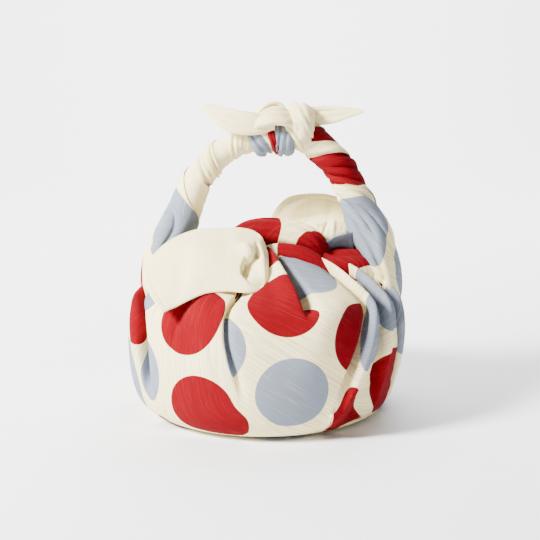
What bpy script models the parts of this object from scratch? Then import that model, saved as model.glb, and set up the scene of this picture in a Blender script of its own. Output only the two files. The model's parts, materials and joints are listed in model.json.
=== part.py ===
"""A square cotton cloth tied round a bowl-sized bundle, in metres, +Z up.

The cloth is one piece. It is drawn up round the bundle, its front and back corners
are tied across the top in a square knot, and its left and right corners are rolled,
twisted and tied above that into a carrying handle. The origin is the middle of the
flat spot that the bundle stands on. +X is to the right and -Y is the front.
"""

import math
from collections import namedtuple

import bmesh
import bpy
import numpy as np

# Driving sizes
BASE_RADIUS = 0.055
WIDEST_RADIUS = 0.0755
ROOF_HEIGHT = 0.092
HANDLE_TOP = 0.150  # the middle of the rolled handle at its highest

# The bundle's outline from the edge of its base to the middle of its roof:
# radius as a share of the widest, and height as a share of the roof's
Outline = namedtuple("Outline", "radius height")
OUTLINE = (
    Outline(BASE_RADIUS / WIDEST_RADIUS, 0.0),
    Outline(0.860, 0.035),
    Outline(0.940, 0.125),
    Outline(0.985, 0.300),
    Outline(1.000, 0.490),
    Outline(0.965, 0.650),
    Outline(0.895, 0.740),
    Outline(0.740, 0.825),
    Outline(0.520, 0.905),
    Outline(0.260, 0.975),
    Outline(0.060, 1.000),
)
OUTLINE_RINGS = 21
COLUMN_STEP = 5.0  # degrees between two columns of points
LOW_LEAN = 0.050  # how much further the foot of the bundle reaches to the left
GATHER = (-0.004, -0.006)  # where the roof's pleats run together, in x and y
GATHER_REACH = 0.35  # share of the radius inside which the pleats flatten out

# A fold of the bundle: azimuths in degrees from the front, positive to the right,
# at the base and at the roof's middle; half-width in degrees; depth, negative for a
# ridge; and the shares of the outline where the fold starts and has its full depth
Fold = namedtuple("Fold", "low high width depth start full")
FOLDS = (
    Fold(-168, -160, 8, 0.0055, 0.35, 0.65),
    Fold(-140, -128, 7, 0.0065, 0.22, 0.48),
    Fold(-116, -102, 7, 0.0060, 0.25, 0.48),
    Fold(-53, -48, 5, 0.0120, 0.34, 0.48),
    Fold(-32, -30, 8, 0.0030, 0.35, 0.60),
    Fold(-17, -20, 5, 0.0065, 0.20, 0.42),
    Fold(4, 10, 10, 0.0060, 0.60, 0.76),
    Fold(22, 34, 11, -0.0022, 0.35, 0.62),
    Fold(39, 45, 5, 0.0075, 0.22, 0.44),
    Fold(50, 56, 5, 0.0085, 0.18, 0.40),
    Fold(62, 66, 6, 0.0065, 0.22, 0.44),
    Fold(114, 108, 7, 0.0060, 0.25, 0.50),
    Fold(132, 126, 7, 0.0065, 0.22, 0.50),
    Fold(158, 152, 8, 0.0055, 0.35, 0.65),
)

# The rolled handle, from its left foot over the top to its right foot: its middle;
# half its width across the arch and half its depth in the arch's own plane; the
# angle to which a foot wraps the bundle; and how far the roll is twisted by there
Roll = namedtuple("Roll", "x z width depth wrap twist")
HANDLE = (
    Roll(-0.0600, 0.050, 0.0300, 0.0030, 27, 0),
    Roll(-0.0650, 0.064, 0.0320, 0.0050, 27, 0),
    Roll(-0.0625, 0.078, 0.0285, 0.0074, 22, 0),
    Roll(-0.0555, 0.091, 0.0200, 0.0092, 8, 5),
    Roll(-0.0485, 0.103, 0.0135, 0.0098, 0, 25),
    Roll(-0.0437, 0.115, 0.0105, 0.0090, 0, 65),
    Roll(-0.0380, 0.127, 0.0088, 0.0078, 0, 130),
    Roll(-0.0285, 0.1375, 0.0080, 0.0074, 0, 220),
    Roll(-0.0186, 0.144, 0.0076, 0.0070, 0, 330),
    Roll(-0.0060, 0.148, 0.0076, 0.0070, 0, 430),
    Roll(0.0070, HANDLE_TOP, 0.0080, 0.0078, 0, 490),
    Roll(0.0190, 0.148, 0.0086, 0.0082, 0, 520),
    Roll(0.0290, 0.1415, 0.0090, 0.0084, 0, 545),
    Roll(0.0372, 0.1315, 0.0092, 0.0082, 0, 580),
    Roll(0.0430, 0.1205, 0.0098, 0.0084, 0, 610),
    Roll(0.0485, 0.109, 0.0118, 0.0096, 0, 630),
    Roll(0.0530, 0.0985, 0.0165, 0.0108, 4, 640),
    Roll(0.0585, 0.088, 0.0250, 0.0100, 14, 645),
    Roll(0.0645, 0.077, 0.0320, 0.0078, 24, 645),
    Roll(0.0665, 0.063, 0.0330, 0.0055, 27, 645),
    Roll(0.0610, 0.050, 0.0310, 0.0030, 27, 645),
)
HANDLE_RINGS = 61
HANDLE_COLUMNS = 24
PLEATS = 3  # pleats round the roll, which its twist carries along
PLEAT_DEPTH = 0.26  # of the grooves between them, as a share of the roll's half-width
LEAST_WRAP = 0.01  # degrees, as good as straight

# A turn of cloth round the handle, at its top knot: its middle; how far its plane
# leans from upright, in degrees; its radii upwards and to the front; and half the
# band's width and half its thickness
Turn = namedtuple("Turn", "x z lean rise reach width thick")
TURNS = (
    Turn(-0.0040, 0.1475, 24, 0.0078, 0.0095, 0.0065, 0.0020),
    Turn(0.0070, 0.1475, 6, 0.0082, 0.0100, 0.0055, 0.0020),
    Turn(0.0160, 0.1535, 22, 0.0115, 0.0110, 0.0070, 0.0024),
)
TURN_RINGS = 18

# A place along a band of cloth: its middle, half its width and half its thickness
Band = namedtuple("Band", "x y z width thick")
LEFT_TAIL = (
    Band(0.0020, -0.0080, 0.1560, 0.0035, 0.0018),
    Band(-0.0045, -0.0100, 0.1560, 0.0052, 0.0024),
    Band(-0.0105, -0.0110, 0.1564, 0.0062, 0.0024),
    Band(-0.0168, -0.0110, 0.1572, 0.0064, 0.0020),
    Band(-0.0231, -0.0100, 0.1590, 0.0058, 0.0016),
    Band(-0.0284, -0.0080, 0.1617, 0.0044, 0.0013),
    Band(-0.0327, -0.0060, 0.1644, 0.0026, 0.0011),
    Band(-0.0350, -0.0050, 0.1660, 0.0010, 0.0010),
)
RIGHT_TAIL = (
    Band(0.0120, 0.0020, 0.1597, 0.0045, 0.0018),
    Band(0.0224, 0.0030, 0.1591, 0.0052, 0.0024),
    Band(0.0278, 0.0030, 0.1594, 0.0052, 0.0022),
    Band(0.0341, 0.0020, 0.1600, 0.0046, 0.0017),
    Band(0.0399, 0.0010, 0.1609, 0.0034, 0.0013),
    Band(0.0452, 0.0000, 0.1615, 0.0020, 0.0011),
    Band(0.0496, -0.0010, 0.1621, 0.0009, 0.0009),
)
CROSSING = (
    Band(-0.0085, -0.0070, 0.1550, 0.0035, 0.0020),
    Band(-0.0040, -0.0090, 0.1580, 0.0050, 0.0024),
    Band(0.0015, -0.0098, 0.1605, 0.0062, 0.0024),
    Band(0.0070, -0.0090, 0.1600, 0.0064, 0.0024),
    Band(0.0125, -0.0060, 0.1575, 0.0050, 0.0020),
)
TOP_LOOP = (
    Band(-0.0085, -0.0040, 0.1575, 0.0030, 0.0018),
    Band(-0.0058, -0.0030, 0.1620, 0.0034, 0.0018),
    Band(-0.0010, 0.0000, 0.1650, 0.0040, 0.0018),
    Band(0.0040, 0.0020, 0.1650, 0.0045, 0.0018),
    Band(0.0090, 0.0020, 0.1620, 0.0045, 0.0018),
)
LOW_CROSSING = (
    Band(-0.0190, -0.0160, 0.0905, 0.0050, 0.0045),
    Band(-0.0140, -0.0150, 0.0975, 0.0068, 0.0055),
    Band(-0.0050, -0.0125, 0.0990, 0.0078, 0.0060),
    Band(0.0060, -0.0115, 0.0985, 0.0078, 0.0062),
    Band(0.0150, -0.0125, 0.0970, 0.0075, 0.0060),
    Band(0.0230, -0.0135, 0.0935, 0.0066, 0.0055),
    Band(0.0285, -0.0130, 0.0860, 0.0050, 0.0040),
)
FRONT_FOLD = (
    Band(-0.0060, -0.0200, 0.0865, 0.0035, 0.0030),
    Band(0.0000, -0.0215, 0.0895, 0.0042, 0.0034),
    Band(0.0095, -0.0225, 0.0900, 0.0046, 0.0036),
    Band(0.0200, -0.0240, 0.0875, 0.0044, 0.0034),
    Band(0.0320, -0.0260, 0.0800, 0.0036, 0.0026),
)
BACK_PLEAT = (
    Band(0.0180, 0.0040, 0.0900, 0.0060, 0.0045),
    Band(0.0270, 0.0050, 0.0965, 0.0072, 0.0052),
    Band(0.0370, 0.0060, 0.0965, 0.0075, 0.0050),
    Band(0.0470, 0.0060, 0.0900, 0.0070, 0.0050),
)
RIGHT_SADDLE = (
    Band(0.0200, -0.0050, 0.0790, 0.0160, 0.0100),
    Band(0.0330, -0.0060, 0.0800, 0.0185, 0.0100),
    Band(0.0450, -0.0040, 0.0780, 0.0180, 0.0120),
    Band(0.0540, 0.0000, 0.0700, 0.0160, 0.0140),
)
LEFT_SADDLE = (
    Band(-0.0160, -0.0040, 0.0810, 0.0160, 0.0100),
    Band(-0.0300, -0.0020, 0.0810, 0.0185, 0.0100),
    Band(-0.0420, 0.0000, 0.0780, 0.0180, 0.0120),
    Band(-0.0510, 0.0000, 0.0700, 0.0160, 0.0140),
)
FRONT_TAIL = (
    Band(0.0020, -0.0270, 0.0870, 0.0125, 0.0045),
    Band(-0.0045, -0.0330, 0.0885, 0.0180, 0.0050),
    Band(-0.0200, -0.0345, 0.0890, 0.0205, 0.0036),
    Band(-0.0350, -0.0350, 0.0870, 0.0205, 0.0026),
    Band(-0.0480, -0.0380, 0.0805, 0.0195, 0.0022),
    Band(-0.0588, -0.0425, 0.0722, 0.0178, 0.0018),
)
BACK_TAIL = (
    Band(-0.0030, -0.0020, 0.0900, 0.0060, 0.0040),
    Band(0.0070, 0.0090, 0.1000, 0.0090, 0.0042),
    Band(0.0190, 0.0180, 0.1045, 0.0120, 0.0034),
    Band(0.0320, 0.0225, 0.1055, 0.0125, 0.0026),
    Band(0.0440, 0.0240, 0.1040, 0.0110, 0.0022),
    Band(0.0560, 0.0240, 0.1000, 0.0070, 0.0018),
    Band(0.0660, 0.0220, 0.0955, 0.0025, 0.0014),
)
BAND_RINGS = 2  # rings of points for each row of a band
BAND_COLUMNS = 12
FLATNESS = 0.75  # below 1, a band's section has flatter faces and fuller edges

# The bands, each with the point that its back faces
Strip = namedtuple("Strip", "name rows inside")
TOP_KNOT = (0.008, 0.000, 0.150)
LOW_KNOT = (0.004, 0.020, 0.060)
STRIPS = (
    Strip("left_tail", LEFT_TAIL, (-0.010, 0.300, 0.120)),
    Strip("right_tail", RIGHT_TAIL, (0.030, 0.300, 0.120)),
    Strip("crossing", CROSSING, TOP_KNOT),
    Strip("top_loop", TOP_LOOP, TOP_KNOT),
    Strip("low_crossing", LOW_CROSSING, LOW_KNOT),
    Strip("front_fold", FRONT_FOLD, LOW_KNOT),
    Strip("back_pleat", BACK_PLEAT, LOW_KNOT),
    Strip("left_saddle", LEFT_SADDLE, (-0.030, 0.000, 0.000)),
    Strip("right_saddle", RIGHT_SADDLE, (0.030, 0.000, 0.000)),
    Strip("front_tail", FRONT_TAIL, (-0.026, -0.008, 0.052)),
    Strip("back_tail", BACK_TAIL, (0.020, 0.080, 0.050)),
)

CREAM = (0.86, 0.82, 0.70, 1.0)
CLOTH_ROUGHNESS = 0.9


def smooth_step(x):
    """0 below 0, 1 above 1, and an even S between."""
    x = np.clip(x, 0.0, 1.0)
    return x * x * (3 - 2 * x)


def smooth_rows(rows, count):
    """The rows' numbers read off at count places along one smooth curve through them."""
    rows = np.array(rows, float)
    last = len(rows) - 1
    padded = np.vstack([2 * rows[0] - rows[1], rows, 2 * rows[-1] - rows[-2]])
    place = np.linspace(0, last, count)
    i = np.minimum(place.astype(int), last - 1)
    t = (place - i)[:, None]
    a, b, c, d = (padded[i + k] for k in range(4))
    bend = (2 * a - 5 * b + 4 * c - d) * t**2
    turn = (3 * b - a - 3 * c + d) * t**3
    return 0.5 * (2 * b + (c - a) * t + bend + turn)


def unit(vectors):
    """The same directions, with length 1."""
    return vectors / np.linalg.norm(vectors, axis=-1, keepdims=True)


def flattened(wave):
    """A cosine or sine with fuller ends, which squares up a round section."""
    return np.sign(wave) * np.abs(wave) ** FLATNESS


def closed_solid(name, rings, ring_closes=False):
    """One closed body through rings of points, capped unless the last meets the first."""
    rings = np.asarray(rings, float)
    count, columns = rings.shape[:2]
    made = bmesh.new()
    points = [[made.verts.new(p) for p in ring] for ring in rings]
    if ring_closes:
        points.append(points[0])
    else:
        made.faces.new(points[0])
        made.faces.new(points[-1])
    for near, far in zip(points, points[1:]):
        for c in range(columns):
            made.faces.new((near[c - 1], near[c], far[c], far[c - 1]))
    bmesh.ops.recalc_face_normals(made, faces=made.faces)
    mesh = bpy.data.meshes.new(name)
    made.to_mesh(mesh)
    made.free()
    mesh.shade_smooth()
    solid = bpy.data.objects.new(name, mesh)
    bpy.context.scene.collection.objects.link(solid)
    return solid


def fold_columns(share):
    """Azimuths of the bundle's columns of points, which run along its folds."""
    columns = []
    for i, fold in enumerate(FOLDS):
        after = FOLDS[(i + 1) % len(FOLDS)]
        low_span = (after.low - fold.low) % 360
        high_span = (after.high - fold.high) % 360
        steps = max(2, round(low_span / COLUMN_STEP))
        for k in range(steps):
            low = fold.low + low_span * k / steps
            high = fold.high + high_span * k / steps
            columns.append(low + (high - low) * smooth_step(share))
    return np.array(columns).T


def fold_depths(azimuths, share):
    """How far each point of the bundle is sunk by its folds."""
    sunk = np.zeros_like(azimuths)
    for fold in FOLDS:
        middle = fold.low + (fold.high - fold.low) * smooth_step(share)
        away = (azimuths - middle[:, None] + 180) % 360 - 180
        depth = fold.depth * smooth_step((share - fold.start) / (fold.full - fold.start))
        sunk += depth[:, None] * np.exp(-((away / fold.width) ** 2))
    return sunk


def bundle():
    """The drawn-up body of the cloth, with its pleats and its flat base."""
    outline = smooth_rows(OUTLINE, OUTLINE_RINGS) * [WIDEST_RADIUS, ROOF_HEIGHT]
    share = np.linspace(0, 1, OUTLINE_RINGS)
    along = unit(np.gradient(outline, axis=0))
    radius, height = outline.T
    outwards, upwards = along[:, 1], -along[:, 0]

    azimuths = fold_columns(share)
    pleat_share = np.clip(radius / (GATHER_REACH * WIDEST_RADIUS), 0, 1)
    sunk = fold_depths(azimuths, share) * pleat_share[:, None]
    angle = np.radians(azimuths)
    low_share = 1 - smooth_step(height / ROOF_HEIGHT)
    lean = 1 - LOW_LEAN * np.sin(angle) * low_share[:, None]
    reach = radius[:, None] * lean - sunk * outwards[:, None]
    shift = smooth_step(2 * share - 1)[:, None]
    x = reach * np.sin(angle) + GATHER[0] * shift
    y = -reach * np.cos(angle) + GATHER[1] * shift
    z = height[:, None] - sunk * upwards[:, None]
    z[0] = 0.0
    return closed_solid("furoshiki_wrap", np.stack([x, y, z], axis=2))


def handle():
    """The two rolled corners, with feet that wrap the bundle's left and right sides."""
    rows = smooth_rows(HANDLE, HANDLE_RINGS)
    middle = np.stack([rows[:, 0], np.zeros(HANDLE_RINGS), rows[:, 1]], axis=1)
    width, depth = rows[:, 2, None], rows[:, 3, None]
    wrap = np.radians(np.maximum(rows[:, 4, None], LEAST_WRAP))
    twist = np.radians(rows[:, 5, None])
    forward = unit(np.gradient(middle, axis=0))
    outer = np.cross(forward, [0.0, 1.0, 0.0])
    around = np.linspace(0, 2 * math.pi, HANDLE_COLUMNS, endpoint=False)
    pleat = 1 - PLEAT_DEPTH * (1 - np.abs(np.sin(PLEATS / 2 * around)))
    across = -width * np.cos(around + twist) * pleat
    lift = depth * np.sin(around + twist) * pleat
    bow = width / wrap
    turned = across / bow
    y = (bow + lift) * np.sin(turned)
    out = (bow + lift) * np.cos(turned) - bow
    rings = middle[:, None] + outer[:, None] * out[..., None]
    rings[..., 1] += y
    return closed_solid("handle", rings)


def turn(row):
    """A closed turn of cloth round the handle at its top knot."""
    around = np.linspace(0, 2 * math.pi, TURN_RINGS, endpoint=False)
    section = np.linspace(0, 2 * math.pi, BAND_COLUMNS, endpoint=False)
    lean = math.radians(row.lean)
    axis = np.array([math.cos(lean), 0.0, math.sin(lean)])
    upright = np.array([-math.sin(lean), 0.0, math.cos(lean)])
    front = np.array([0.0, -1.0, 0.0])
    up, ahead = np.cos(around)[:, None], np.sin(around)[:, None]
    path = np.array([row.x, 0.0, row.z]) + row.rise * up * upright + row.reach * ahead * front
    face = unit(up * upright / row.rise + ahead * front / row.reach)
    wide = row.width * np.cos(section)[None, :, None] * axis
    high = row.thick * np.sin(section)[None, :, None] * face[:, None]
    return closed_solid("turn", path[:, None] + wide + high, ring_closes=True)


def band(strip):
    """A flattened band along a strip's path, with its back to the point inside."""
    rows = smooth_rows(strip.rows, BAND_RINGS * len(strip.rows))
    path = rows[:, :3]
    width, thick = rows[:, 3, None], rows[:, 4, None]
    forward = unit(np.gradient(path, axis=0))
    face = path - np.array(strip.inside)
    face = unit(face - forward * np.sum(face * forward, axis=1, keepdims=True))
    side = np.cross(forward, face)
    section = np.linspace(0, 2 * math.pi, BAND_COLUMNS, endpoint=False)
    across = width * flattened(np.cos(section))
    lift = thick * flattened(np.sin(section))
    rings = path[:, None] + side[:, None] * across[..., None] + face[:, None] * lift[..., None]
    return closed_solid(strip.name, rings)


def join(cloth, piece):
    """Makes the piece one with the cloth, and keeps it as a guide only."""
    union = cloth.modifiers.new(piece.name, "BOOLEAN")
    union.operation = "UNION"
    union.solver = "EXACT"
    union.object = piece
    piece.hide_render = True
    piece.display_type = "WIRE"


def cotton():
    """Plain undyed cotton, the ground colour of the cloth."""
    material = bpy.data.materials.new("cotton")
    material.use_nodes = True
    shader = material.node_tree.nodes["Principled BSDF"]
    shader.inputs["Base Color"].default_value = CREAM
    shader.inputs["Roughness"].default_value = CLOTH_ROUGHNESS
    shader.inputs["Metallic"].default_value = 0.0
    return material


def clear_scene():
    """Removes what the scene holds already."""
    for old in list(bpy.data.objects):
        bpy.data.objects.remove(old)


def main():
    clear_scene()
    cloth = bundle()
    cloth.data.materials.append(cotton())
    pieces = [handle()]
    pieces += [turn(row) for row in TURNS]
    pieces += [band(strip) for strip in STRIPS]
    for piece in pieces:
        join(cloth, piece)


main()
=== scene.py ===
# Looks of the furoshiki wrap: one cotton square, drawn up, tied and rolled, as thin
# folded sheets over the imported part. Metres, +Z up, -Y to the front.
import json
import math

import bpy
import numpy as np
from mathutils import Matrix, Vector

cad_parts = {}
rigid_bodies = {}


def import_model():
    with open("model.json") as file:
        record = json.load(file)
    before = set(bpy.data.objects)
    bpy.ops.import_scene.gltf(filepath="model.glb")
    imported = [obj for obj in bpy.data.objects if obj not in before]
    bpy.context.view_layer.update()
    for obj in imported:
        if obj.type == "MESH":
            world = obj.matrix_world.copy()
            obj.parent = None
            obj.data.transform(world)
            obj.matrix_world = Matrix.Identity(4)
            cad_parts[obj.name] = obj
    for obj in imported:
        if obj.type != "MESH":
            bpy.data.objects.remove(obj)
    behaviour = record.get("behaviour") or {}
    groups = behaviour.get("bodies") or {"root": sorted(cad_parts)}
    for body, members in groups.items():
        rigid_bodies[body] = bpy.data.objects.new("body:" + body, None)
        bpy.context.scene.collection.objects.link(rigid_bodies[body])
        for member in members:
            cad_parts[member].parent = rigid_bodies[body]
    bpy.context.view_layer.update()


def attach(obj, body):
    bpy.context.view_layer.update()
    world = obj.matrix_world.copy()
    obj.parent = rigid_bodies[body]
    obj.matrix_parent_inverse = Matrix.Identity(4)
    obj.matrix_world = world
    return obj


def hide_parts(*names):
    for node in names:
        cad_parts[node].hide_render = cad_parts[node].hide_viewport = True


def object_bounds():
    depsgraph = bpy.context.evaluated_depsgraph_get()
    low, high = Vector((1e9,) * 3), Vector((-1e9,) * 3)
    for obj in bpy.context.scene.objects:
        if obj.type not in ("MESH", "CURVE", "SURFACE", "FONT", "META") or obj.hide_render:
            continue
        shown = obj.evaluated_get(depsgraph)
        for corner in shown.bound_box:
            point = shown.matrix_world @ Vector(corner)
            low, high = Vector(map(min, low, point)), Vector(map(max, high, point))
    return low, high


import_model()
print("frame loaded")
chance = np.random.default_rng(11)


def unit(vectors):
    # each vector divided by its own length
    return vectors / np.maximum(np.linalg.norm(vectors, axis=-1, keepdims=True), 1e-12)


def ease(x):
    # 0 up to 0, 1 from 1 on, and a smooth s between them
    x = np.clip(x, 0.0, 1.0)
    return x * x * (3 - 2 * x)


def bell(x):
    # 1 in the middle, about a third at 1, and next to nothing from 2 on
    return np.exp(-(x**2))


def curveAt(rows, places):
    # one smooth curve through the rows, read where a place of 2.5 is halfway from row 2 to row 3
    rows = np.asarray(rows, float)
    last = len(rows) - 1
    padded = np.vstack([2 * rows[0] - rows[1], rows, 2 * rows[-1] - rows[-2]])
    places = np.clip(np.asarray(places, float), 0, last)
    i = np.minimum(places.astype(int), last - 1)
    t = (places - i)[:, None]
    a, b, c, d = (padded[i + k] for k in range(4))
    bend = (2 * a - 5 * b + 4 * c - d) * t**2
    turn = (3 * b - a - 3 * c + d) * t**3
    return 0.5 * (2 * b + (c - a) * t + bend + turn)


def lengthAlong(points, axis=0):
    # distance along each line of points, from its first one
    steps = np.linalg.norm(np.diff(points, axis=axis), axis=-1)
    return np.insert(np.cumsum(steps, axis=axis), 0, 0, axis=axis)


# the print: round dots in staggered rows on the flat cloth, turned by an angle and moved;
# edge is half the width of a dot's soft edge
dots = {
    "pitch": 0.0475,
    "rowPitch": 0.0425,
    "radius": 0.0190,
    "edge": 0.00015,
    "angle": 20,
    "move": (0.030, 0.020),
}


def dotAt(column, row, right=0.0, up=0.0):
    # the middle of the dot in a row and column, and a step right and up from it
    x = (column + 0.5 - 0.5 * (row % 2)) * dots["pitch"] - dots["move"][0]
    y = (row + 0.5) * dots["rowPitch"] - dots["move"][1]
    a = math.radians(-dots["angle"])
    return x * math.cos(a) - y * math.sin(a) + right, x * math.sin(a) + y * math.cos(a) + up


def homeOf(part, otherwise=(0.33, 0.0)):
    # where a piece lies in the print: on a dot, or at a place of its own
    return dotAt(*part["dot"]) if "dot" in part else part.get("home", otherwise)


def laidAt(home, heading, along, across):
    # cloth places: steps along and across a piece, turned by its heading and moved to its home
    a = math.radians(heading)
    u = home[0] + along * math.cos(a) - across * math.sin(a)
    v = home[1] + along * math.sin(a) + across * math.cos(a)
    return np.stack([u, v], axis=2)


sheets = []


def addSheet(points, cloth, bare=0.0, wraps=False):
    # a grid of points with the place of each on the flat cloth; bare is 1 where nothing is
    # printed, and a sheet that wraps closes on itself from its last column to its first
    points = np.asarray(points, float)
    sheets.append(
        {
            "points": points,
            "cloth": np.asarray(cloth, float),
            "bare": np.broadcast_to(np.asarray(bare, float), points.shape[:2]),
            "wraps": wraps,
        }
    )


# The drawn-up body. Azimuths are in degrees from the front, positive to the right. A share is
# how far a point is along the outline, from the edge of the base (0) to the middle of the roof (1).
body = {
    "outline": (
        (0.0550, 0.0000), (0.0649, 0.0032), (0.0710, 0.0115), (0.0744, 0.0276),
        (0.0755, 0.0451), (0.0729, 0.0598), (0.0676, 0.0681), (0.0559, 0.0759),
        (0.0393, 0.0833), (0.0196, 0.0897), (0.0045, 0.0920),
    ),
    "rings": 78,
    "crowding": 0.035,  # how far the rings draw together on the shoulder
    "floorRings": 3,
    "hub": 0.02,  # the innermost ring, as a share of the base, and its cloth distance
    "hubFar": 0.0012,
    "height": 0.092,
    "lean": 0.05,
    "gather": (-0.004, -0.006),
    "gatherReach": 0.026,
    "spacing": 2.1,  # degrees between columns where no fold lies
    "pathSpan": 9,  # rings over which a fold's path is smoothed
    "roofFold": 7,  # the fold that stays on the roof
    "splitDepth": 0.003,  # a shallower fold doesn't split the print
    "plainTo": 0.12,  # up to this share the print is plain, and it blends over the next stretch
    "plainBlend": 0.16,
    "baseFade": 0.06,  # folds and wrinkles start over this share above the base
    "wrinkleFade": 0.4,
    "measured": 6,  # every sixth column is measured for the distance up the wall
}

# each fold: shape, half-width in degrees, depth, and its path as (share, azimuth, strength)
folds = (
    ("lap", 7.0, 0.0050, ((0.2, -171, 0), (0.5, -166, 0.8), (0.7, -162, 1), (1, -160, 1))),
    ("groove", 6.0, 0.0062, ((0.15, -142, 0), (0.4, -135, 0.9), (0.7, -130, 1), (1, -128, 1))),
    ("lap", 6.5, 0.0060, ((0.18, -118, 0), (0.4, -112, 0.9), (0.7, -107, 1), (1, -108, 1))),
    ("groove", 5.0, 0.0050, ((0.2, -95, 0), (0.5, -93, 0.8), (0.7, -93, 1), (1, -95, 1))),
    ("lap", 7.0, 0.0150, ((0.24, -60, 0), (0.34, -60.5, 0.6), (0.40, -61.5, 1), (0.44, -63.5, 1),
                          (0.49, -67, 1), (0.54, -73, 0.8), (0.6, -78, 0.4), (1, -80, 0.3))),
    ("groove", 6.0, 0.0022, ((0.3, -42, 0), (0.5, -41, 0.6), (0.7, -39, 1), (1, -37, 1))),
    ("lap", 4.2, 0.0060, ((0.28, -12, 0), (0.34, -14, 0.35), (0.39, -16.5, 0.8), (0.45, -19, 1),
                          (0.54, -20, 1), (0.62, -20, 1), (0.70, -18.5, 0.8), (1, -18, 0.4))),
    ("valley", 11.0, 0.0135, ((0.58, 15, 0), (0.64, 14.5, 0.4), (0.70, 14, 0.9), (0.76, 13, 1),
                              (0.84, 12, 1), (1, 7, 1))),
    ("tuck", 4.8, 0.0108, ((0.23, 30, 0), (0.27, 31.5, 0.25), (0.32, 33.6, 0.5), (0.36, 36.5, 0.75),
                           (0.42, 40.5, 1), (0.48, 44, 1), (0.55, 47.2, 1), (0.6, 49, 1), (0.67, 48.6, 1),
                           (0.73, 50.5, 1), (0.8, 54, 0.9), (1, 54, 0.6))),
    ("tuck", 4.8, 0.0112, ((0.22, 54, 0), (0.3, 53.5, 0.5), (0.36, 53, 0.9), (0.43, 53.6, 1),
                           (0.53, 56.5, 1), (0.6, 59, 1), (0.65, 59.5, 1), (0.71, 64, 1),
                           (0.8, 67, 1), (1, 66, 0.7))),
    ("tuck", 4.4, 0.0096, ((0.2, 69, 0), (0.3, 68.5, 0.6), (0.38, 66.5, 0.9), (0.44, 65, 1), (0.5, 67, 1),
                           (0.6, 69, 1), (0.67, 73.4, 1), (0.8, 78, 1), (1, 76, 0.7))),
    ("groove", 5.0, 0.0060, ((0.2, 94, 0), (0.5, 93, 0.8), (0.7, 92, 1), (1, 90, 1))),
    ("lap", 6.0, 0.0060, ((0.18, 118, 0), (0.45, 112, 0.9), (0.7, 108, 1), (1, 106, 1))),
    ("groove", 6.0, 0.0066, ((0.15, 137, 0), (0.4, 131, 0.9), (0.7, 127, 1), (1, 125, 1))),
    ("lap", 7.0, 0.0050, ((0.2, 160, 0), (0.5, 156, 0.8), (0.7, 153, 1), (1, 151, 1))),
)
# a fold's section: place across it, azimuth as a share of its half-width, and sunk depth as a
# share of its depth
foldShapes = {
    "lap": (
        (-1.0, -1.0, 0.0), (-0.6, -0.58, -0.05), (-0.3, -0.16, -0.10), (-0.12, 0.12, -0.12),
        (-0.03, 0.26, -0.06), (0.03, 0.29, 0.10), (0.1, 0.20, 0.34), (0.25, -0.05, 0.62),
        (0.38, -0.16, 0.86), (0.5, -0.02, 1.0), (0.66, 0.30, 0.86), (0.84, 0.68, 0.36),
        (1.0, 1.0, 0.0),
    ),
    "groove": (
        (-1.0, -1.0, 0.0), (-0.6, -0.6, 0.02), (-0.35, -0.34, 0.22), (-0.15, -0.15, 0.70),
        (-0.04, -0.04, 0.97), (0.04, 0.04, 0.97), (0.15, 0.15, 0.70), (0.35, 0.34, 0.22),
        (0.6, 0.6, 0.02), (1.0, 1.0, 0.0),
    ),
    "valley": (
        (-1.0, -1.0, 0.0), (-0.6, -0.6, -0.14), (-0.3, -0.22, -0.28), (-0.12, -0.02, -0.30),
        (-0.06, 0.03, -0.25), (-0.03, 0.06, -0.15), (0.0, 0.075, 0.02), (0.03, 0.07, 0.28),
        (0.06, 0.05, 0.56), (0.1, 0.03, 0.80), (0.16, 0.02, 0.95), (0.24, 0.10, 1.0),
        (0.38, 0.28, 0.96), (0.5, 0.45, 0.72), (0.66, 0.66, 0.30), (0.84, 0.84, 0.05),
        (1.0, 1.0, 0.0),
    ),
    "tuck": (
        (-1.0, -1.0, 0.0), (-0.8, -0.72, 0.22), (-0.6, -0.42, 0.58), (-0.45, -0.20, 0.86),
        (-0.3, 0.06, 1.0), (-0.2, 0.14, 0.84), (-0.12, 0.10, 0.50), (-0.06, -0.04, 0.20),
        (-0.03, -0.11, 0.08), (0.0, -0.14, -0.02), (0.03, -0.13, -0.12), (0.06, -0.09, -0.20),
        (0.1, 0.0, -0.27), (0.16, 0.10, -0.31), (0.24, 0.22, -0.32), (0.38, 0.38, -0.26),
        (0.5, 0.51, -0.18), (0.7, 0.71, -0.06), (1.0, 1.0, 0.0),
    ),
}
foldPlaces = np.array([
    -1.0, -0.72, -0.45, -0.3, -0.2, -0.12, -0.06, -0.03, 0.0, 0.03, 0.06, 0.1, 0.16,
    0.24, 0.38, 0.5, 0.66, 0.84, 1.0,
])
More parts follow.
